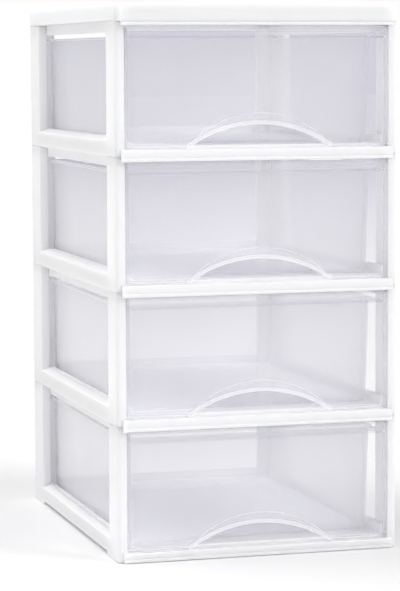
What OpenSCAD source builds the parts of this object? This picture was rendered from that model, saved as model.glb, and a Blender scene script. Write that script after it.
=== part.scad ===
// Drawer tower with four clear drawers in a white snap-together frame.
// X runs across the tower, Y from the front face (negative) to the rear face, Z up.
// The origin is on the floor, under the middle of the tower.
// Levels count from the top: drawer 1 is the highest, drawer 4 stands just above the base panel.

/* [Overall] */
// Outside width of the frame
frame_w = 280; // [250:1:340]
// Depth of the side frames, front face to rear face
frame_d = 375; // [320:1:430]
// How far the front rails and the drawers stand out in front of the side frames
front_proud = 5; // [4:0.5:8]
// Height of one level, from one side sill to the next
level_pitch = 127.5; // [110:0.5:160]
// Radius of the upright corners of the side frames
corner_r = 4.5; // [2:0.5:5.5]
// Wall thickness of the white mouldings
wall_t = 2.5; // [2:0.1:3]

/* [Side frames] */
// Thickness of a side frame, outer face to inner face
side_t = 9; // [8:0.1:12]
// Width of the front post on the side face
front_post_w = 35; // [28:1:50]
// Width of the rear post on the side face
rear_post_w = 42; // [30:1:60]
// Height of the rail under each side window
side_rail_h = 19; // [16:0.5:24]
// Width of the flange that turns along the rear face
rear_return_w = 26; // [16:1:30]
// Depth of the hook along the free edge of the rear flange
return_hook_d = 5; // [4:0.5:8]
// Radius of the lower corners of a side window
window_r = 2; // [1:0.5:4]
// How far the sill of a side window falls from its inner edge to its outer edge
sill_fall_h = 3.5; // [1:0.1:5]
// Height of the gap under the lowest side rail, between the feet
foot_gap_h = 4; // [2:0.5:7]
// Length of a foot along the side face
foot_l = 46; // [30:1:60]
// Rounding of the lower outer edge of each rail
rail_edge_r = 1.6; // [0.8:0.1:2.2]
// Largest spacing of the ribs inside a side rail
rail_rib_pitch = 50; // [30:1:80]
// Length of the tongues that plug a side frame into the one below
tongue_l = 9; // [6:0.5:14]

/* [Shelves] */
// Height of the front sill of the base panel above the floor
base_sill_h = 10; // [8:0.5:14]
// Rise from the top of a front rail to the side sills
ledge_rise = 11.5; // [9:0.5:14]
// Height of a shelf's front rail
front_rail_h = 11.5; // [9:0.5:14]
// Height of the lip along the lower edge of every front rail
lip_h = 3; // [2:0.1:4.5]
// How far the lip stands out in front of the rail's face
lip_d = 0.8; // [0.4:0.1:1.2]
// How far a front rail laps over the front of each post
rail_lap = 4; // [2:0.5:4.5]
// Rounding of the rail's two ends
rail_end_r = 3; // [1:0.5:3.5]
// Distance from the rails' front back to the wall that the drawers close against
stop_d = 11; // [9:0.5:16]
// Rise from the top of a front rail to the shelf floor behind it
floor_step_h = 3; // [2:0.1:5]
// Width of the raised ledge inside each side frame
ledge_w = 5; // [4:0.5:16]
// How far the locating web hangs below a side rail
web_drop = 10; // [6:0.5:12]
// Height of the stiffening ribs under a shelf floor
rib_h = 6; // [3:0.5:7]
// Thickness of the stiffening ribs
rib_t = 1.8; // [1.2:0.1:2.4]
// Largest spacing of the stiffening ribs
rib_pitch = 86; // [50:1:110]
// Length of the snap tabs that carry a shelf in the side rails
tab_l = 14; // [8:1:24]
// Reach of the snap tabs into the side rails
tab_reach = 3; // [2:0.1:4]
// Height of the snap tabs
tab_h = 4; // [2:0.5:6]
// Distance of the snap tabs from the middle of the depth
tab_y = 75; // [40:1:90]
// Gap between the base panel's front sill and the floor
sill_gap_h = 0.5; // [0.5:0.1:3]

/* [Top cap] */
// Height of the cap's side skirt
cap_side_h = 15.5; // [12:0.5:24]
// Height of the cap's front rail at its ends
cap_front_h = 19.5; // [17:0.5:28]
// Rise of the crowned top in the middle of the front
crown_h = 4; // [2:0.1:8]
// Radius of the cap's two front corners
cap_corner_r = 8; // [5:0.5:12]

/* [Drawers] */
// Gap between a drawer front and the frame around it
front_gap = 1; // [0.5:0.1:1.5]
// How far a closed drawer front lies behind the lips of the front rails
front_recess = 0.5; // [0:0.1:2]
// Gap between sliding or seated faces
seat_gap = 0.3; // [0.2:0.05:0.5]
// Gap beside the tub, between the side ledges
tub_side_gap = 1; // [0.5:0.1:2]
// Thickness of the drawer front panel
panel_t = 2.2; // [1.6:0.1:3]
// Thickness of the tub walls and floor
tub_t = 2; // [1.6:0.1:3]
// Width of the raised border round the drawer front
border_w = 5.3; // [3.5:0.1:8]
// Height of the raised border above the panel
border_h = 0.8; // [0.4:0.1:1.2]
// Radius of the drawer front's corners
front_r = 3; // [1.5:0.5:5]
// Radius of the corners of the field inside the border
field_r = 1.5; // [0.5:0.1:3]
// Distance from the rails' front back to the tub's front wall
tub_setback = 31; // [26:0.5:45]
// Outside length of the tub at its rim
tub_l = 326; // [240:1:330]
// How far the tub rim stays below the top of the drawer front
rim_drop = 9; // [4:0.5:12]
// Width of the outward rim of the tub
rim_w = 4; // [2:0.5:5]
// Slope of the tub walls, as the inset of the floor against the rim
tub_draft = 2.5; // [1:0.1:5]
// Radius of the tub's upright corners at the rim
tub_r = 14; // [8:1:24]
// Radius of the bend between the tub's walls and its floor
tub_floor_r = 5; // [3:0.5:8]

/* [Arch pull] */
// Half of the width of the arch at the lower edge of the drawer front
arch_half_w = 70; // [50:1:80]
// Height of the arch
arch_h = 21.5; // [18:0.5:30]
// Radius that rounds each foot of the arch
arch_foot_r = 7; // [6:0.5:16]
// Width of the bead along the cut edge of the arch
bead_w = 3.6; // [2.4:0.1:4.5]
// How far the bead stands out in front of the border
bead_h = 0.5; // [0.3:0.1:0.5]
// Width of the raised crescent at the crown of the arch, bead included
crescent_w = 11.1; // [8:0.1:14]
// Half of the width of the crescent where it runs into the border
crescent_half_w = 68; // [60:1:90]
// Radius that rounds the crescent into the border
crescent_foot_r = 8; // [3:0.5:10]

/* [Hidden] */

levels = 4;
over = 1;                                   // how far a cutter runs past what it cuts
slice_t = 0.01;                             // thickness of the slices that a hull joins
min_r = 0.5;                                // smallest radius left inside a rounded corner
bend_step = 60;                             // angle on the floor bend where its middle slice lies
arch_steps = 24;                            // straight pieces that the arc of an arch is drawn with
foot_steps = 4;                             // straight pieces in the rounding at each foot

half_w = frame_w / 2;
y_rear = (frame_d + front_proud) / 2;
y_front = -y_rear;                          // front of the rails, the foremost face
y_side = y_front + front_proud;             // front of the side frames
y_stop = y_front + stop_d;                  // face that the drawer fronts close against

// Heights on one level, from the level's own datum
side_sill_z = base_sill_h + ledge_rise;
seam_z = side_sill_z - side_rail_h;         // lower edge of a side rail
seam_next_z = seam_z + level_pitch;         // where the level above begins
floor_z = base_sill_h + floor_step_h;       // shelf floor that a drawer slides on
opening_top_z = base_sill_h + level_pitch - front_rail_h;

inner_x = half_w - side_t;                  // inner face of the side frames
rail_x = inner_x + rail_lap;                // end of a front rail
guide_x = inner_x - ledge_w;                // ledge face that guides a tub

// The cap sits on the highest seam
cap_z = (levels - 1) * level_pitch + seam_next_z;
cap_top_z = cap_z + cap_side_h;
cap_front_z = cap_top_z - cap_front_h;
crown_r = (pow(half_w, 2) + pow(crown_h, 2)) / (2 * crown_h);

// Drawer front and tub
front_x = inner_x - front_gap;
front_z0 = base_sill_h + front_gap;
front_z1 = opening_top_z - front_gap;
front_y = y_front + front_recess;
flange_d = y_stop - front_y - seat_gap;
panel_back_y = front_y + border_h + panel_t;
rim_z = front_z1 - rim_drop;
tub_z = floor_z + seat_gap;
tub_x = guide_x - tub_side_gap;
tub_y0 = y_front + tub_setback;
tub_y1 = tub_y0 + tub_l;

function level_z(n) = (levels - n) * level_pitch;
function arch_r(half, h) = (pow(half, 2) + pow(h, 2)) / (2 * h);
// Where the rounding at the foot of an arch has its centre
function foot_x(r, h, foot) = sqrt(pow(r + foot, 2) - pow(foot + r - h, 2));

// ---------- shapes that several parts share ----------

// Rectangle with rounded corners, from corner to corner
module round_rect(x0, y0, x1, y1, r) {
    translate([x0 + r, y0]) square([x1 - x0 - 2 * r, y1 - y0]);
    translate([x0, y0 + r]) square([x1 - x0, y1 - y0 - 2 * r]);
    for (x = [x0 + r, x1 - r], y = [y0 + r, y1 - r])
        translate([x, y]) circle(r = r, $fn = 24);
}

// Block between two opposite corners
module block(from, to) {
    translate(from) cube(to - from);
}

// Everything above the floor plan of the side frames, from a front face back to the rear
module footprint(y0, z0, z1, r) {
    translate([0, 0, z0]) linear_extrude(height = z1 - z0)
        round_rect(-half_w, y0, half_w, y_rear, r);
}

// Extrudes a profile drawn in X and Z along Y
module along_y(y0, y1) {
    translate([0, y1, 0]) rotate([90, 0, 0]) linear_extrude(height = y1 - y0) children();
}

// Extrudes a profile drawn in Y and Z along X
module along_x(x0, x1) {
    translate([x0, 0, 0]) rotate([90, 0, 90]) linear_extrude(height = x1 - x0) children();
}

// Cutter that rounds the corner at the origin of a solid lying towards +X and +Y
module corner_cutter(r) {
    difference() {
        translate([-over, -over]) square(r + over);
        translate([r, r]) circle(r = r, $fn = 24);
    }
}

// ---------- side frames ----------

// Cutter for a side window, whose sill slopes down towards the outside
module window_cutter() {
    low_z = side_sill_z - sill_fall_h;
    past = 2 * over;
    fall_past = sill_fall_h / side_t * past;  // further fall where the slope runs past the frame
    difference() {
        along_x(inner_x - over, half_w + over)
            round_rect(y_side + front_post_w, low_z, y_rear - rear_post_w,
                       seam_next_z + over + window_r, window_r);
        along_y(y_side, y_rear) polygon([
            [inner_x - past, seam_z],
            [half_w + past, seam_z],
            [half_w + past, low_z - fall_past],
            [inner_x - past, side_sill_z + fall_past]
        ]);
    }
}

// Hollow in the inner face of a side frame, open at the tops of the posts
module side_hollow(z0) {
    translate([y_side + wall_t, z0 + wall_t])
        square([front_post_w - 2 * wall_t, level_pitch + side_rail_h]);
    translate([y_rear - rear_post_w + wall_t, z0 + wall_t])
        square([rear_post_w - 2 * wall_t, level_pitch + side_rail_h]);
    translate([y_side + wall_t, z0 + wall_t])
        square([frame_d - 2 * wall_t, side_sill_z - sill_fall_h - z0 - 2 * wall_t]);
}

// Flange along the rear face with a hook along its free edge
module rear_return(z0) {
    block([half_w - rear_return_w, y_rear - wall_t, z0], [half_w, y_rear, seam_next_z]);
    block([half_w - rear_return_w, y_rear - return_hook_d, z0],
          [half_w - rear_return_w + wall_t, y_rear, seam_next_z]);
}

// Stiffening ribs across the hollow of the rail, between the posts
module rail_ribs(z0) {
    first = y_side + front_post_w;
    window_l = frame_d - front_post_w - rear_post_w;
    bays = ceil(window_l / rail_rib_pitch);
    step = window_l / bays;
    for (i = [0 : bays])
        block([inner_x + tab_reach + seat_gap, first + i * step - rib_t / 2, z0],
              [half_w - wall_t / 2, first + i * step + rib_t / 2,
               side_sill_z - sill_fall_h - wall_t / 2]);
}

// Tongues that plug into the hollow posts of the frame below
module tongues(z_root) {
    x1 = half_w - wall_t - seat_gap;
    x0 = x1 - wall_t;
    block([x0, y_side + wall_t + seat_gap, z_root - tongue_l],
          [x1, y_side + front_post_w - wall_t - seat_gap, z_root + wall_t / 2]);
    block([x0, y_rear - rear_post_w + wall_t + seat_gap, z_root - tongue_l],
          [x1, y_rear - wall_t - seat_gap, z_root + wall_t / 2]);
}

// Right-hand side frame of one level; the lowest one has feet in place of tongues
module right_side(n) {
    lowest = n == levels;
    z0 = lowest ? foot_gap_h : seam_z;
    foot_z = lowest ? 0 : z0;
    translate([0, 0, level_z(n)]) {
        intersection() {
            footprint(y_side, foot_z, seam_next_z, corner_r);
            difference() {
                union() {
                    difference() {
                        block([inner_x, y_side, z0], [half_w, y_rear, seam_next_z]);
                        along_x(inner_x - over, half_w - wall_t) side_hollow(z0);
                    }
                    rail_ribs(z0);
                    rear_return(foot_z);
                    if (lowest) {
                        block([inner_x, y_side, 0], [half_w, y_side + foot_l, z0 + wall_t]);
                        block([inner_x, y_rear - foot_l, 0], [half_w, y_rear, z0 + wall_t]);
                    }
                }
                window_cutter();
                // rounded lower edge of the rail
                if (!lowest)
                    along_y(y_side - over, y_rear + over)
                        translate([half_w, z0]) mirror([1, 0]) corner_cutter(rail_edge_r);
            }
        }
        if (!lowest) tongues(z0);
    }
}

module side_right(n) {
    color("whitesmoke") right_side(n);
}

module side_left(n) {
    color("whitesmoke") mirror([1, 0, 0]) right_side(n);
}

// ---------- shelves ----------

// Section of a shelf across the tower: floor, guide walls, ledges and hanging side webs
module tray_section(web_z) {
    translate([-guide_x - wall_t, floor_z - wall_t])
        square([2 * (guide_x + wall_t), wall_t]);
    for (side = [0, 1]) mirror([side, 0]) {
        translate([guide_x, floor_z - wall_t])
            square([wall_t, side_sill_z - floor_z + wall_t]);
        translate([guide_x, side_sill_z - wall_t])
            square([ledge_w, wall_t]);
        translate([inner_x - wall_t, web_z])
            square([wall_t, side_sill_z - web_z]);
    }
}

// Cutter that sets the face of a rail from z0 to z1 back behind the rail's lower lip
module face_cutter(z0, z1) {
    polygon([
        [y_front - over, z0 + lip_h],
        [y_front, z0 + lip_h],
        [y_front + lip_d, z0 + lip_h + lip_d],
        [y_front + lip_d, z1 + over],
        [y_front - over, z1 + over]
    ]);
}

// Front rail: a channel that is open below, with a lip along its lower edge
module front_rail(z0) {
    difference() {
        union() {
            block([-rail_x, y_front, z0], [rail_x, y_side, base_sill_h]);
            block([-inner_x, y_front, z0], [inner_x, y_stop + wall_t, base_sill_h]);
        }
        block([-inner_x + wall_t, y_front + lip_d + wall_t, z0 - over],
              [inner_x - wall_t, y_stop, base_sill_h - wall_t]);
        along_x(-rail_x - over, rail_x + over) {
            translate([y_front, z0]) corner_cutter(rail_edge_r);
            face_cutter(z0, base_sill_h);
        }
        for (side = [0, 1]) mirror([side, 0, 0])
            translate([rail_x, y_front, z0 - over]) mirror([1, 0, 0])
                linear_extrude(height = base_sill_h - z0 + 2 * over) corner_cutter(rail_end_r);
    }
}

// Wall behind the front rail: the step up to the shelf floor
module step_wall(z0) {
    block([-inner_x, y_stop, z0], [inner_x, y_stop + wall_t, floor_z]);
    for (side = [0, 1]) mirror([side, 0, 0])
        block([guide_x, y_stop, z0], [inner_x, y_stop + wall_t, side_sill_z]);
}

// Grid of ribs under a floor or a top, between two heights
module rib_grid(y0, y1, z0, z1) {
    rows = ceil((y1 - y0) / rib_pitch);
    row_step = (y1 - y0) / rows;
    for (i = [1 : rows - 1])
        block([-inner_x + wall_t / 2, y0 + i * row_step - rib_t / 2, z0],
              [inner_x - wall_t / 2, y0 + i * row_step + rib_t / 2, z1]);
    columns = ceil(2 * guide_x / rib_pitch);
    column_step = 2 * guide_x / columns;
    for (i = [1 : columns - 1])
        block([-guide_x + i * column_step - rib_t / 2, y0, z0],
              [-guide_x + i * column_step + rib_t / 2, y1, z1]);
}

// Snap tabs that rest on the bottom wall of the side rails
module snap_tabs(z0) {
    for (side = [0, 1]) mirror([side, 0, 0])
        for (y = [-tab_y, tab_y])
            block([inner_x - wall_t, y - tab_l / 2, z0], [inner_x + tab_reach, y + tab_l / 2, z0 + tab_h]);
}

// A whole shelf: web_z is its lowest web, rail_z0 its front lip, tab_z the seat of its tabs
module tray(web_z, rail_z0, rear_z, tab_z) {
    y0 = y_stop;
    y1 = y_rear - wall_t;
    difference() {
        union() {
            along_y(y0, y1) tray_section(web_z);
            rib_grid(y0 + wall_t, y1, floor_z - wall_t - rib_h, floor_z - wall_t / 2);
        }
        // room for the hooks of the rear flanges
        for (side = [0, 1]) mirror([side, 0, 0])
            block([half_w - rear_return_w, y_rear - return_hook_d, web_z - over],
                  [half_w - rear_return_w + wall_t + seat_gap, y_rear, side_sill_z + over]);
    }
    front_rail(rail_z0);
    step_wall(rail_z0);
    snap_tabs(tab_z);
    // rear rail between the two rear flanges
    block([-half_w + rear_return_w, y1 - over, rear_z], [half_w - rear_return_w, y_rear, side_sill_z]);
}

module shelf(n) {
    color("whitesmoke") translate([0, 0, level_z(n)])
        tray(seam_z - web_drop, base_sill_h - front_rail_h, seam_z, seam_z + wall_t);
}

module base_panel() {
    color("whitesmoke")
        tray(foot_gap_h, sill_gap_h, foot_gap_h, foot_gap_h + wall_t);
}

// ---------- top cap ----------

// Section of the crowned top, lowered by drop and narrowed by inset
module crown_section(z0, inset, drop) {
    intersection() {
        translate([-half_w + inset, z0])
            square([frame_w - 2 * inset, cap_top_z + crown_h + over - z0]);
        translate([0, cap_top_z + crown_h - crown_r]) circle(r = crown_r - drop, $fn = 720);
    }
}

// Ribs under the crowned top
module cap_ribs() {
    z0 = cap_top_z - wall_t - rib_h;
    intersection() {
        along_y(y_stop, y_rear - wall_t / 2) crown_section(z0, wall_t / 2, wall_t / 2);
        rib_grid(y_stop + wall_t, y_rear - wall_t, z0, cap_top_z + crown_h);
    }
}

// Floor plan of the cap: its front corners are rounder than those of the side frames behind
module cap_footprint() {
    z0 = cap_front_z - web_drop;
    z1 = cap_top_z + crown_h + over;
    footprint(y_front, z0, z1, cap_corner_r);
    footprint(0, z0, z1, corner_r);
}

module top_cap() {
    color("whitesmoke") {
        intersection() {
            cap_footprint();
            union() {
                difference() {
                    union() {
                        along_y(y_front, y_rear) crown_section(cap_z, 0, 0);
                        block([-rail_x, y_front, cap_front_z], [rail_x, y_side, cap_z + over]);
                        block([-inner_x, y_front, cap_front_z], [inner_x, y_stop + wall_t, cap_z + over]);
                        block([-half_w + rear_return_w, y_rear - wall_t, cap_front_z],
                              [half_w - rear_return_w, y_rear, cap_z + over]);
                    }
                    // hollow behind the stop wall
                    along_y(y_stop + wall_t, y_rear - wall_t) crown_section(cap_z - over, wall_t, wall_t);
                    // channel in the front rail, and the pockets above the front posts
                    block([-inner_x + wall_t, y_front + lip_d + wall_t, cap_front_z - over],
                          [inner_x - wall_t, y_stop, cap_top_z - wall_t]);
                    for (side = [0, 1]) mirror([side, 0, 0])
                        block([inner_x, y_side + wall_t, cap_z - over],
                              [half_w - wall_t, y_stop, cap_top_z - wall_t]);
                    // face above the lip, and the rounded lower edges at the front and on both sides
                    along_x(-half_w - over, half_w + over) face_cutter(cap_front_z, cap_top_z + crown_h);
                    along_x(-rail_x, rail_x)
                        translate([y_front, cap_front_z]) corner_cutter(rail_edge_r);
                    for (side = [0, 1]) mirror([side, 0, 0])
                        along_y(y_front - over, y_rear + over)
                            translate([half_w, cap_z]) mirror([1, 0]) corner_cutter(rail_edge_r);
                }
                // hanging webs that locate the cap between the side frames
                for (side = [0, 1]) mirror([side, 0, 0])
                    block([inner_x - wall_t, y_stop, cap_z - web_drop],
                          [inner_x, y_rear - wall_t, cap_top_z - wall_t / 2]);
                cap_ribs();
                // pads that carry the tongues
                for (side = [0, 1]) mirror([side, 0, 0]) intersection() {
                    translate([0, 0, cap_z]) tongues_pad();
                    block([0, y_front, cap_z], [half_w, y_rear, cap_top_z - wall_t / 2]);
                }
            }
        }
        for (side = [0, 1]) mirror([side, 0, 0]) tongues(cap_z);
    }
}

// Thickening inside the cap's skirt above each tongue
module tongues_pad() {
    x0 = half_w - 2 * wall_t - seat_gap;
    block([x0, y_side + wall_t + seat_gap, 0],
          [half_w - wall_t / 2, y_side + front_post_w - wall_t - seat_gap, cap_side_h]);
    block([x0, y_rear - rear_post_w + wall_t + seat_gap, 0],
          [half_w - wall_t / 2, y_rear - wall_t - seat_gap, cap_side_h]);
}

// ---------- drawers ----------

// Points of an arc about [cx, cz], from angle a0 to angle a1
function arc(cx, cz, r, a0, a1, steps) =
    [for (i = [0 : steps]) let (a = a0 + (a1 - a0) * i / steps) [cx + r * cos(a), cz + r * sin(a)]];

// Arch with flared feet standing on z0; grow moves its whole outline outwards
module arch(half, h, foot, z0, grow = 0) {
    r = arch_r(half, h);
    fx = foot_x(r, h, foot);
    // direction from the centre of the arch to the centre of its right foot's rounding
    meet = atan2(foot + r - h, fx);
    polygon(concat(
        [[-fx, z0 - over], [fx, z0 - over]],
        arc(fx, z0 + foot, foot - grow, -90, meet - 180, foot_steps),
        arc(0, z0 + h - r, r + grow, meet, 180 - meet, arch_steps),
        arc(-fx, z0 + foot, foot - grow, -meet, -90, foot_steps)
    ));
}

// Drawer front seen from the front, every edge moved inwards by inset
module front_outline(inset) {
    difference() {
        round_rect(-front_x + inset, front_z0 + inset, front_x - inset, front_z1 - inset,
                   max(front_r - inset, min_r));
        arch(arch_half_w, arch_h, arch_foot_r, front_z0, inset);
    }
}

// Field of the front inside its border, with the crescent left out
module front_field() {
    difference() {
        round_rect(-front_x + border_w, front_z0 + border_w,
                   front_x - border_w, front_z1 - border_w, field_r);
        arch(crescent_half_w, arch_h + crescent_w - border_w, crescent_foot_r, front_z0 + border_w);
    }
}

// Front moulding: panel, raised border, crescent and bead, and the flange behind every edge
module drawer_front() {
    difference() {
        union() {
            along_y(front_y, front_y + flange_d) front_outline(0);
            along_y(front_y - bead_h, panel_back_y - panel_t / 2) intersection() {
                front_outline(0);
                arch(arch_half_w, arch_h, arch_foot_r, front_z0, bead_w);
            }
        }
        along_y(front_y - over, front_y + border_h) front_field();
        along_y(panel_back_y, front_y + flange_d + over) front_outline(panel_t);
    }
}

// Thin slice of the tub's plan at height z, every wall moved inwards by inset
module tub_slice(z, inset, r) {
    for (x = [-tub_x + inset + r, tub_x - inset - r], y = [tub_y0 + inset + r, tub_y1 - inset - r])
        translate([x, y, z]) cylinder(r = r, h = slice_t, $fn = 32);
}

// Tapered body with rounded corners and a rounded bend into its floor
module tub_body(z0, z1, inset) {
    bend = tub_floor_r - inset / 2;
    lean = inset + tub_draft * (rim_z - z0 - bend) / (rim_z - tub_z);
    hull() {
        tub_slice(z1 - slice_t, inset, tub_r - inset);
        tub_slice(z0 + bend, lean, tub_r - inset);
        // partway round the bend, and its foot
        tub_slice(z0 + bend * (1 - sin(bend_step)), lean + bend * (1 - cos(bend_step)),
                  tub_r - inset - bend * (1 - cos(bend_step)));
        tub_slice(z0, lean + bend, tub_r - inset - bend);
    }
}

module drawer(n) {
    color([0.82, 0.81, 0.88, 0.5]) translate([0, 0, level_z(n)]) {
        drawer_front();
        difference() {
            union() {
                tub_body(tub_z, rim_z, 0);
                // outward rim, and the bridge from the rim to the back of the front
                translate([0, 0, rim_z - tub_t]) linear_extrude(height = tub_t) {
                    round_rect(-tub_x - rim_w, tub_y0, tub_x + rim_w, tub_y1 + rim_w, tub_r);
                    translate([-tub_x - rim_w, panel_back_y - panel_t / 2])
                        square([2 * (tub_x + rim_w), tub_setback]);
                }
            }
            tub_body(tub_z + tub_t, rim_z + over, tub_t);
        }
    }
}

base_panel();
shelf(1);  // shelf_1
shelf(2);  // shelf_2
shelf(3);  // shelf_3
top_cap();
side_left(1);  // side_left_1
side_left(2);  // side_left_2
side_left(3);  // side_left_3
side_left(4);  // side_left_4
side_right(1);  // side_right_1
side_right(2);  // side_right_2
side_right(3);  // side_right_3
side_right(4);  // side_right_4
drawer(1);  // drawer_1
drawer(2);  // drawer_2
drawer(3);  // drawer_3
drawer(4);  // drawer_4
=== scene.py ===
# %% [markdown]
# # A drawer tower in white and clear plastic
# The tower is a kit of snap-together mouldings: a white base, three shelves, a top cap and eight
# side frames, with four clear drawers that slide in from the front. This lesson starts from the
# measured solids, gives their edges the small rounds that every moulding has, finishes the clear
# drawers so that their walls and their edges read differently, and lights it all like a pack shot.

# %% Load the measured frame
import math

import bmesh
import bpy
from mathutils import Matrix, Vector


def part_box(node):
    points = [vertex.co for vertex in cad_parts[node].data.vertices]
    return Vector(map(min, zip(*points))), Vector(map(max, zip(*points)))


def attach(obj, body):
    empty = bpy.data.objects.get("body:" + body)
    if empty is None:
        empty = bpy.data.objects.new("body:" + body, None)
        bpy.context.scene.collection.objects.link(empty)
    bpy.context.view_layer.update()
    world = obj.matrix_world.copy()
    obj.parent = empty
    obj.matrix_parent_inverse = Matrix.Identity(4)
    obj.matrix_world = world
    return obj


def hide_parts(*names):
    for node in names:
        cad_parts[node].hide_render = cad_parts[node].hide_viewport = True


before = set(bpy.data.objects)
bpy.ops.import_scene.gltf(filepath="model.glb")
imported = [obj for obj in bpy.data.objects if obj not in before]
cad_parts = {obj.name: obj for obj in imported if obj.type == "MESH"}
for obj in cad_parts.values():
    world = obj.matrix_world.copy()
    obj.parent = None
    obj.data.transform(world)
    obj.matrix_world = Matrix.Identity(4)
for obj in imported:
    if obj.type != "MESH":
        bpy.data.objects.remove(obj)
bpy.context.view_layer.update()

# %% [markdown]
# ## Units, and places that come from the frame
# Blender works in metres, but a toolmaker thinks in millimetres, so one constant turns the one
# into the other. The heights and depths below are read from the measured nodes. Only what a
# bounding box can't tell, such as the height of a step in the drawer front, is written out.

# %% Places on the drawers
MM = 0.001
LEVELS = 4
BEAD_H = 0.5 * MM       # the bead along the arch stands this far in front of the border
STEP_H = 0.8 * MM       # the border stands this far in front of the field

drawer_box = {n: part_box(f"drawer_{n}") for n in range(1, LEVELS + 1)}
bead_y = drawer_box[1][0].y
border_y = bead_y + BEAD_H
field_y = border_y + STEP_H
print("bead, border and field lie at Y =", [round(y, 4) for y in (bead_y, border_y, field_y)])

# %% [markdown]
# ## From loose triangles to a clean mesh
# A measured node arrives as loose triangles, each with corners of its own. Before anything can be
# rounded the doubles are merged, and neighbouring triangles that lie in one plane are dissolved
# into whole faces. The limit is a fifth of a degree, because the crowned top of the cap is drawn
# with flat strips that meet at half a degree, and those must stay. The new object is smooth only
# across its small rounds, and weighted normals keep the flat face beside a round truly flat.

# %% Clean copy of a node
MERGE_DIST = 0.001 * MM
FLAT_ANGLE = math.radians(0.2)
SMOOTH_ANGLE = math.radians(30)


def clean_copy(node):
    """A bmesh copy of a measured node with merged corners and whole flat faces."""
    bm = bmesh.new()
    bm.from_mesh(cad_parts[node].data)
    bmesh.ops.remove_doubles(bm, verts=bm.verts, dist=MERGE_DIST)
    bmesh.ops.dissolve_limit(bm, angle_limit=FLAT_ANGLE, verts=bm.verts, edges=bm.edges)
    return bm


def object_from(bm, name, finishes):
    """Turn a finished bmesh into an object at the origin, smooth only across its small rounds."""
    mesh = bpy.data.meshes.new(name)
    bm.to_mesh(mesh)
    bm.free()
    for finish in finishes:
        mesh.materials.append(finish)
    mesh.shade_smooth()
    mesh.set_sharp_from_angle(angle=SMOOTH_ANGLE)
    piece = bpy.data.objects.new(name, mesh)
    bpy.context.scene.collection.objects.link(piece)
    weigh = piece.modifiers.new("weighted_normals", "WEIGHTED_NORMAL")
    weigh.mode = "FACE_AREA"
    weigh.keep_sharp = True
    return piece


# %% [markdown]
# ## Rounding the edges
# No moulded edge is truly sharp, and the thin line of light along a rounded edge is most of what
# makes a white part on a white ground readable. A Bevel modifier would do this too, but the
# bmesh operator hands back the faces that it makes, and the drawers need those for their own
# finish. Edges shorter than 2.5 mm are left alone: they belong to small arcs and rib ends, where
# a round would fold over itself.

# %% Rounding helper
SHORTEST_ROUNDED = 2.5 * MM
SHARP_ANGLE = math.radians(35)


def sharp_edges(bm):
    """Every edge that is crisp and long enough to take a round."""
    return [e for e in bm.edges
            if e.is_manifold and e.calc_face_angle() > SHARP_ANGLE and e.calc_length() > SHORTEST_ROUNDED]


def round_edges(bm, edges, width, segments=2):
    """Round the edges and return the new faces."""
    made = bmesh.ops.bevel(bm, geom=edges, offset=width, offset_type="OFFSET", affect="EDGES",
                           segments=segments, profile=0.5, material=-1, clamp_overlap=False,
                           loop_slide=True, miter_outer="ARC", miter_inner="SHARP")
    return made["faces"]


# %% [markdown]
# ## White moulded plastic
# The frame is polypropylene with a satin skin. Three things tell it from plain white paint: a
# very fine grain from the eroded mould, which blurs highlights; broad faint waves where the
# plastic shrank over ribs and snap tabs; and a slight change of shade from one area to the next.
# All three are noise on Object coordinates, at 0.4 mm, 35 mm and 90 mm. The plastic is also a
# little translucent: light goes in on one side of a 2.5 mm wall and glows out of the other, which
# keeps the hollow posts and the seams between two mouldings from going dark. Subsurface
# scattering with a reach of 6 mm does that, where a plain diffuse white would look like plaster.

# %% Material helpers
NOISE_LOW = 0.3         # nearly all of a noise texture's values lie between these two
NOISE_HIGH = 0.7


def new_finish(name):
    """A new material and its node tree's nodes, links and main shader."""
    material = bpy.data.materials.new(name)
    material.use_nodes = True
    tree = material.node_tree
    return material, tree.nodes, tree.links, tree.nodes["Principled BSDF"]


def noise(nodes, links, grain, detail=2.0):
    """Noise on Object coordinates whose lumps are about one grain across."""
    place = nodes.new("ShaderNodeTexCoord")
    texture = nodes.new("ShaderNodeTexNoise")
    texture.inputs["Scale"].default_value = 1 / grain
    texture.inputs["Detail"].default_value = detail
    links.new(place.outputs["Object"], texture.inputs["Vector"])
    return texture.outputs["Fac"]


def spread(nodes, links, value, low, high):
    """Map a noise value to the range from low to high."""
    ramp = nodes.new("ShaderNodeMapRange")
    ramp.inputs["From Min"].default_value = NOISE_LOW
    ramp.inputs["From Max"].default_value = NOISE_HIGH
    ramp.inputs["To Min"].default_value = low
    ramp.inputs["To Max"].default_value = high
    links.new(value, ramp.inputs["Value"])
    return ramp.outputs["Result"]


def two_tone(nodes, links, value, first, second):
    """Blend two colours by a value from 0 to 1."""
    blend = nodes.new("ShaderNodeMix")
    blend.data_type = "RGBA"
    blend.inputs["A"].default_value = (*first, 1)
    blend.inputs["B"].default_value = (*second, 1)
    links.new(value, blend.inputs["Factor"])
    return blend.outputs["Result"]


def bump(nodes, links, height, distance, strength, under=None):
    """A bump from a height value, laid over another one where that is given."""
    node = nodes.new("ShaderNodeBump")
    node.inputs["Distance"].default_value = distance
    node.inputs["Strength"].default_value = strength
    links.new(height, node.inputs["Height"])
    if under:
        links.new(under, node.inputs["Normal"])
    return node.outputs["Normal"]


# %% White plastic
GRAIN = 0.4 * MM        # lumps of the mould grain, and how deep they are
GRAIN_DEPTH = 0.05 * MM
WAVES = 35 * MM         # sink waves over ribs and tabs, and how deep they are
WAVE_DEPTH = 1.0 * MM
PATCHES = 90 * MM       # areas of one shade
LIGHT_SHADE = (0.945, 0.945, 0.955)
DEEP_SHADE = (0.925, 0.925, 0.94)
WHITE_IOR = 1.49
SCATTER_REACH = 6 * MM


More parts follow.
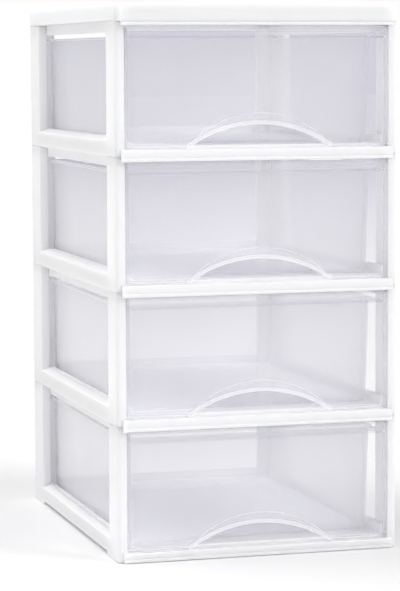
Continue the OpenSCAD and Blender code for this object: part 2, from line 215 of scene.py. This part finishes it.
def white_plastic():
    """Satin white polypropylene with mould grain, sink waves and a faint change of shade."""
    material, nodes, links, shader = new_finish("white_plastic")
    shade = spread(nodes, links, noise(nodes, links, PATCHES), 0, 1)
    links.new(two_tone(nodes, links, shade, DEEP_SHADE, LIGHT_SHADE), shader.inputs["Base Color"])
    grain = noise(nodes, links, GRAIN, detail=1)
    links.new(spread(nodes, links, grain, 0.34, 0.46), shader.inputs["Roughness"])
    waves = bump(nodes, links, noise(nodes, links, WAVES), WAVE_DEPTH, 0.15)
    links.new(bump(nodes, links, grain, GRAIN_DEPTH, 0.25, under=waves), shader.inputs["Normal"])
    shader.inputs["IOR"].default_value = WHITE_IOR
    shader.inputs["Subsurface Weight"].default_value = 1
    shader.inputs["Subsurface Radius"].default_value = (1, 1, 1)
    shader.inputs["Subsurface Scale"].default_value = SCATTER_REACH
    return material


white = white_plastic()
print("white finish has", len(white.node_tree.nodes), "nodes")

# %% [markdown]
# ## Clear plastic, face on and edge on
# Clear polystyrene is easy to see through face on. Along a free edge the light that travels inside
# the wall comes out, so rims, beads and cut edges look bright. That light is painted here: the
# edge finish has a brighter, denser haze, which is a painted highlight. Where a wall only bends, as
# at the outline of the drawer front, light is led away and the bent part looks a little darker;
# that is painted shade, a darker tint in the finish for bends. Where the moulding is thick, as in
# the bead along the arch, there is more haze in it. One material can't know how thick the plastic
# behind a point is, so the drawers get four: clear for the walls, painted edge light for free
# edges, painted shade for bends, and a half hazy one for the bead. Each mixes a tinted Transparent
# shader, which is the light that comes straight through, with a glossy hazy shader, which is what
# the haze and the skin send back. The hazy share grows at a glancing angle, as it does on real
# walls. A shadow ray meets only a tenth of it, because haze scatters light forwards and takes
# little away from it.

# %% Clear and thick finishes, with painted edge light and painted shade for bends
SHADOW_SHARE = 0.1
CLOUDS = 60 * MM        # faint clouds in the haze and faint waves in the skin
CLOUD_DEPTH = 0.6 * MM
CLOUD_TONE = 0.985      # shade of the haze where a cloud is darkest
ROUGHNESS_SPREAD = 0.03
CLEAR_IOR = 1.5
GLANCE_BLEND = 0.35


def clear_finish(name, haze, tint, face_on, edge_on, roughness):
    """Clear plastic whose hazy share goes from face_on to edge_on at a glancing angle."""
    material, nodes, links, shader = new_finish(name)
    cloud = noise(nodes, links, CLOUDS)
    shade = spread(nodes, links, cloud, 0, 1)
    dark_haze = [CLOUD_TONE * c for c in haze]
    links.new(two_tone(nodes, links, shade, dark_haze, haze), shader.inputs["Base Color"])
    smooth = roughness - ROUGHNESS_SPREAD
    rough = roughness + ROUGHNESS_SPREAD
    links.new(spread(nodes, links, cloud, smooth, rough), shader.inputs["Roughness"])
    links.new(bump(nodes, links, cloud, CLOUD_DEPTH, 0.04), shader.inputs["Normal"])
    shader.inputs["IOR"].default_value = CLEAR_IOR
    through = nodes.new("ShaderNodeBsdfTransparent")
    through.inputs["Color"].default_value = (*tint, 1)
    glance = nodes.new("ShaderNodeLayerWeight")
    glance.inputs["Blend"].default_value = GLANCE_BLEND
    cover = nodes.new("ShaderNodeMapRange")
    cover.inputs["To Min"].default_value = face_on
    cover.inputs["To Max"].default_value = edge_on
    links.new(glance.outputs["Facing"], cover.inputs["Value"])
    path = nodes.new("ShaderNodeLightPath")
    lit = nodes.new("ShaderNodeMapRange")
    lit.inputs["To Min"].default_value = 1.0
    lit.inputs["To Max"].default_value = SHADOW_SHARE
    links.new(path.outputs["Is Shadow Ray"], lit.inputs["Value"])
    share = nodes.new("ShaderNodeMath")
    share.operation = "MULTIPLY"
    links.new(cover.outputs["Result"], share.inputs[0])
    links.new(lit.outputs["Result"], share.inputs[1])
    mix = nodes.new("ShaderNodeMixShader")
    links.new(share.outputs[0], mix.inputs[0])
    links.new(through.outputs[0], mix.inputs[1])
    links.new(shader.outputs[0], mix.inputs[2])
    links.new(mix.outputs[0], nodes["Material Output"].inputs["Surface"])
    return material


clear = clear_finish("clear_plastic", (0.88, 0.875, 0.895), (0.992, 0.992, 0.997), 0.20, 0.55, 0.12)
# painted highlight: free edges get a brighter, denser haze that stands in for light piped out of the wall
painted_edge_light = clear_finish("clear_plastic_edge", (0.96, 0.96, 0.97), (0.99, 0.99, 0.995), 0.70, 0.95, 0.18)
# painted shade: bends get a darker tint that stands in for light led away along the wall
painted_bend_shade = clear_finish("clear_plastic_bend", (0.88, 0.88, 0.90), (0.94, 0.94, 0.96), 0.22, 0.50, 0.10)
thick = clear_finish("clear_plastic_thick", (0.96, 0.96, 0.97), (0.99, 0.99, 0.995), 0.50, 0.80, 0.18)
# finish slots: clear walls, painted edge light, painted shade for bends, thick bead
CLEAR, PAINTED_EDGE_LIGHT, PAINTED_BEND_SHADE, THICK = 0, 1, 2, 3

# %% [markdown]
# ## The white mouldings
# Base, shelves, cap and side frames keep their measured shape. Each gets a copy with 0.6 mm
# rounds on every crisp edge, which then stands in for the node.

# %% White mouldings
WHITE_ROUND = 0.6 * MM


def white_moulding(node):
    """A rounded white copy of a node that rides on the frame."""
    bm = clean_copy(node)
    round_edges(bm, sharp_edges(bm), WHITE_ROUND)
    piece = object_from(bm, node + "_moulding", [white])
    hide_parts(node)
    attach(piece, "frame")
    return piece


mouldings = [white_moulding(node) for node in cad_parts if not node.startswith("drawer")]
print(len(mouldings), "white mouldings,", sum(len(p.data.polygons) for p in mouldings), "faces")

# %% [markdown]
# ## The clear drawers
# A drawer is one moulding: a double-walled front with a border, a crescent and a beaded arch,
# joined to a tapered tub. The copy is rounded in passes, from the widest edges down to the
# finest, because each pass needs crisp edges to work on. New faces get the finish of their place:
# painted edge light beside the bead, on the cut edge under it, on the crescent that meets it and on
# the small rounds behind the front, painted shade on the outline and on the rest of the border. The
# flat faces stay clear, except for the bead's own.
# The edges on the front are told apart by how far the wall behind them reaches back: the cut
# under the bead and the outline of the front have the deep wall, the outer side of the bead and
# the border's inner edge only a small step.

# %% Drawer helpers
CUT_ROUND = 1.2 * MM
OUTLINE_ROUND = 1.0 * MM
STEP_ROUND = 0.45 * MM
BEAD_ROUND = 0.42 * MM
FINE_ROUND = 0.3 * MM
DEEP_WALL = 3 * MM
FOOT_FROM = 58 * MM     # from here to there the border between bead and crescent is a sliver
FOOT_TO = 74 * MM
FOOT_H = 13 * MM
CRESCENT_X = 78 * MM    # the crescent lies within this distance of the middle
CRESCENT_H = 45 * MM
NEAR = 0.05 * MM


def front_edges(bm, y, deep):
    """Crisp edges in the plane Y = y whose side wall is deep, or whose side wall is a small step."""
    chosen = []
    for edge in bm.edges:
        if not edge.is_manifold or any(abs(v.co.y - y) > NEAR for v in edge.verts):
            continue
        if not edge.is_convex or edge.calc_face_angle() < SHARP_ANGLE:
            continue
        reach = max(v.co.y for face in edge.link_faces for v in face.verts) - y
        if (reach > DEEP_WALL) == deep:
            chosen.append(edge)
    return chosen


def clear_of_foot(edge, bottom):
    """True where the border beside an edge is wide enough for a round."""
    middle = (edge.verts[0].co + edge.verts[1].co) / 2
    return not FOOT_FROM < abs(middle.x) < FOOT_TO or middle.z > bottom + FOOT_H


def on_crescent(edge, bottom):
    """True for a step edge that belongs to the crescent and not to the border."""
    middle = (edge.verts[0].co + edge.verts[1].co) / 2
    return abs(middle.x) < CRESCENT_X and middle.z < bottom + CRESCENT_H


def finished_round(bm, edges, width, finish, segments=2):
    """Round the edges and give the new faces a finish of their own."""
    for face in round_edges(bm, edges, width, segments):
        face.material_index = finish


# %% One drawer
def clear_drawer(n):
    """A rounded copy of a drawer with clear walls, and painted edge light and painted shade on its
    rounds.
    """
    bm = clean_copy(f"drawer_{n}")
    for face in bm.faces:
        on_bead = all(abs(v.co.y - bead_y) < NEAR for v in face.verts)
        face.material_index = THICK if on_bead else CLEAR
    # painted light: each new round gets the painted edge light finish, or the painted shade finish on
    # bends
    finished_round(bm, front_edges(bm, bead_y, deep=True), CUT_ROUND, PAINTED_EDGE_LIGHT, 3)
    finished_round(bm, front_edges(bm, border_y, deep=True), OUTLINE_ROUND, PAINTED_BEND_SHADE, 3)
    bottom = drawer_box[n][0].z
    step = [e for e in front_edges(bm, border_y, deep=False) if clear_of_foot(e, bottom)]
    for face in round_edges(bm, step, STEP_ROUND):
        face.material_index = PAINTED_EDGE_LIGHT if all(on_crescent(e, bottom) for e in face.edges) else PAINTED_BEND_SHADE
    finished_round(bm, front_edges(bm, bead_y, deep=False), BEAD_ROUND, PAINTED_EDGE_LIGHT)
    inner = [e for e in sharp_edges(bm) if e.is_convex and all(v.co.y > field_y + NEAR for v in e.verts)]
    finished_round(bm, inner, FINE_ROUND, PAINTED_EDGE_LIGHT)
    piece = object_from(bm, f"drawer_{n}_moulding", [clear, painted_edge_light, painted_bend_shade, thick])
    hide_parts(f"drawer_{n}")
    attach(piece, f"drawer_body_{n}")
    return piece


drawers = [clear_drawer(n) for n in range(1, LEVELS + 1)]
print(len(drawers), "drawers,", sum(len(p.data.polygons) for p in drawers), "faces")

# %% [markdown]
# ## A white floor that keeps its shadow
# A pack shot stands on white paper that runs out of sight. For rays that are seen, straight,
# mirrored or through a clear wall, the paper's shade and a small glow add up to white in the
# open, so that it only turns grey where the tower takes the light away. For every other ray it
# is plain pale paper, and doesn't light the tower more than paper would.
# Clear plastic shows best in front of something that isn't pure white. Photographers stand a grey
# card behind it, out of the picture. Here rays that have passed a clear wall see the paper fade
# to a cool grey as it runs away behind the tower, and the world beyond it in the same grey.

# %% Which rays show something to the viewer
def any_of(nodes, links, outputs):
    """1 where any of the outputs is 1."""
    total = outputs[0]
    for output in outputs[1:]:
        both = nodes.new("ShaderNodeMath")
        both.operation = "MAXIMUM"
        links.new(total, both.inputs[0])
        links.new(output, both.inputs[1])
        total = both.outputs[0]
    return total


def seen_rays(nodes, links):
    """1 for rays that show something to the viewer: straight, mirrored or through clear walls."""
    path = nodes.new("ShaderNodeLightPath")
    names = ("Is Camera Ray", "Is Glossy Ray", "Is Transmission Ray")
    return any_of(nodes, links, [path.outputs[name] for name in names])


def behind_clear(nodes, links):
    """1 for rays that have come through at least one clear wall."""
    path = nodes.new("ShaderNodeLightPath")
    passed = nodes.new("ShaderNodeMath")
    passed.operation = "GREATER_THAN"
    passed.inputs[1].default_value = 0.5
    links.new(path.outputs["Transparent Depth"], passed.inputs[0])
    return passed.outputs[0]


# %% Paper finish
PAPER = (0.85, 0.85, 0.86)          # for the light that the paper sends on
SHADE = (0.77, 0.77, 0.735)         # for seen rays: what takes the shadow, and what glows
GLOW = (0.085, 0.085, 0.125)
NEAR_TONE = (1.0, 1.0, 1.0)         # behind clear walls: the paper near the tower and far off
FAR_TONE = (0.53, 0.52, 0.61)
FADE_FROM = 0.4                     # metres behind the middle of the tower
FADE_TO = 7


def times(nodes, links, colour, tone):
    """A fixed colour multiplied by a colour value."""
    product = nodes.new("ShaderNodeMix")
    product.data_type = "RGBA"
    product.blend_type = "MULTIPLY"
    product.inputs["Factor"].default_value = 1
    product.inputs["A"].default_value = (*colour, 1)
    links.new(tone, product.inputs["B"])
    return product.outputs["Result"]


def paper_finish():
    """Pale paper, with a glow for the rays that are seen."""
    material, nodes, links, shader = new_finish("floor_paper")
    shader.inputs["Base Color"].default_value = (*PAPER, 1)
    shader.inputs["Roughness"].default_value = 1
    place = nodes.new("ShaderNodeTexCoord")
    apart = nodes.new("ShaderNodeSeparateXYZ")
    links.new(place.outputs["Object"], apart.inputs["Vector"])
    depth = nodes.new("ShaderNodeMapRange")
    depth.inputs["From Min"].default_value = FADE_FROM
    depth.inputs["From Max"].default_value = FADE_TO
    links.new(apart.outputs["Y"], depth.inputs["Value"])
    behind = two_tone(nodes, links, depth.outputs["Result"], NEAR_TONE, FAR_TONE)
    tone = nodes.new("ShaderNodeMix")
    tone.data_type = "RGBA"
    tone.inputs["A"].default_value = (1, 1, 1, 1)
    links.new(behind_clear(nodes, links), tone.inputs["Factor"])
    links.new(behind, tone.inputs["B"])
    shade = nodes.new("ShaderNodeBsdfDiffuse")
    links.new(times(nodes, links, SHADE, tone.outputs["Result"]), shade.inputs["Color"])
    glow = nodes.new("ShaderNodeEmission")
    links.new(times(nodes, links, GLOW, tone.outputs["Result"]), glow.inputs["Color"])
    seen = nodes.new("ShaderNodeAddShader")
    links.new(shade.outputs[0], seen.inputs[0])
    links.new(glow.outputs[0], seen.inputs[1])
    mix = nodes.new("ShaderNodeMixShader")
    links.new(seen_rays(nodes, links), mix.inputs[0])
    links.new(shader.outputs[0], mix.inputs[1])
    links.new(seen.outputs[0], mix.inputs[2])
    links.new(mix.outputs[0], nodes["Material Output"].inputs["Surface"])
    return material


# %% Floor
FLOOR_HALF = 30
bm = bmesh.new()
bmesh.ops.create_grid(bm, x_segments=1, y_segments=1, size=FLOOR_HALF)
floor = object_from(bm, "floor", [paper_finish()])
print("floor", 2 * FLOOR_HALF, "m wide, grey behind clear walls from", FADE_FROM, "to", FADE_TO, "m")

# %% [markdown]
# ## Light
# White plastic on white needs light from everywhere and only a hint of direction. The world gives
# the even part. The key softbox stands high on the right: it draws the bright line along the
# right half of each arch and lays the shadow on the left. A broad one overhead makes the sloping
# window sills and all ledges the brightest faces, and a weak one on the left lifts the side.
# White walls light each other many times over, so diffuse light may bounce ten times. A ray that
# goes through four clear drawers passes dozens of surfaces, and needs that many transparent steps.

# %% World
WORLD_LIGHT = 0.40
WORLD_SEEN = (1, 1, 1)
WORLD_BEHIND = (0.50, 0.49, 0.60)   # the same world behind clear walls

scene = bpy.context.scene
scene.cycles.transparent_max_bounces = 48
scene.cycles.diffuse_bounces = 10
scene.cycles.max_bounces = 16
world = bpy.data.worlds.new("white_studio")
scene.world = world
world.use_nodes = True
world_nodes = world.node_tree.nodes
world_links = world.node_tree.links
through_clear = behind_clear(world_nodes, world_links)
seen_world = two_tone(world_nodes, world_links, through_clear, WORLD_SEEN, WORLD_BEHIND)
sky = world_nodes.new("ShaderNodeMix")
sky.data_type = "RGBA"
sky.inputs["A"].default_value = (WORLD_LIGHT, WORLD_LIGHT, WORLD_LIGHT, 1)
world_links.new(seen_rays(world_nodes, world_links), sky.inputs["Factor"])
world_links.new(seen_world, sky.inputs["B"])
world_links.new(sky.outputs["Result"], world_nodes["Background"].inputs["Color"])
print("world light", WORLD_LIGHT, "seen through clear walls as", WORLD_BEHIND)

# %% Softboxes
LAMP_AWAY = 3       # metres: the light is the same at any distance


def far_softbox(name, toward, shine, spread_angle):
    """A sun lamp with a wide disc, which is a softbox so far away that its light doesn't fall off."""
    data = bpy.data.lights.new(name, "SUN")
    data.energy = math.pi * shine
    data.angle = math.radians(spread_angle)
    lamp = bpy.data.objects.new(name, data)
    lamp.location = Vector(toward) * LAMP_AWAY
    lamp.rotation_euler = Vector(toward).to_track_quat("Z", "Y").to_euler()
    scene.collection.objects.link(lamp)
    return lamp


far_softbox("key_softbox", (0.62, -0.50, 0.60), 0.46, 32)
far_softbox("top_softbox", (-0.36, 0.16, 0.90), 0.54, 50)
far_softbox("left_softbox", (-0.50, -0.75, 0.43), 0.13, 45)

# %% [markdown]
# ## Camera
# The camera stands 2.4 m in front of the tower, 0.7 m to its left and level with its top drawer,
# and looks slightly down. Its matrix is built from a place, a yaw, a pitch and a roll.

# %% Camera
YAW = math.radians(16.01)
PITCH = math.radians(5.45)
ROLL = math.radians(-0.258)
CAMERA_AT = Vector((-0.6977, -2.4129, 0.4747))
SENSOR = 36
PICTURE_H = 591
FOCAL_PIXELS = 2455.0

camera_data = bpy.data.cameras.new("camera")
camera_data.sensor_width = SENSOR
camera_data.lens = FOCAL_PIXELS * SENSOR / PICTURE_H
camera = bpy.data.objects.new("camera", camera_data)
turn = Matrix.Rotation(-YAW, 4, "Z")
tilt = Matrix.Rotation(math.pi / 2 - PITCH, 4, "X")
camera.matrix_world = Matrix.Translation(CAMERA_AT) @ turn @ tilt @ Matrix.Rotation(ROLL, 4, "Z")
scene.collection.objects.link(camera)
scene.camera = camera
scene.view_settings.view_transform = "Standard"
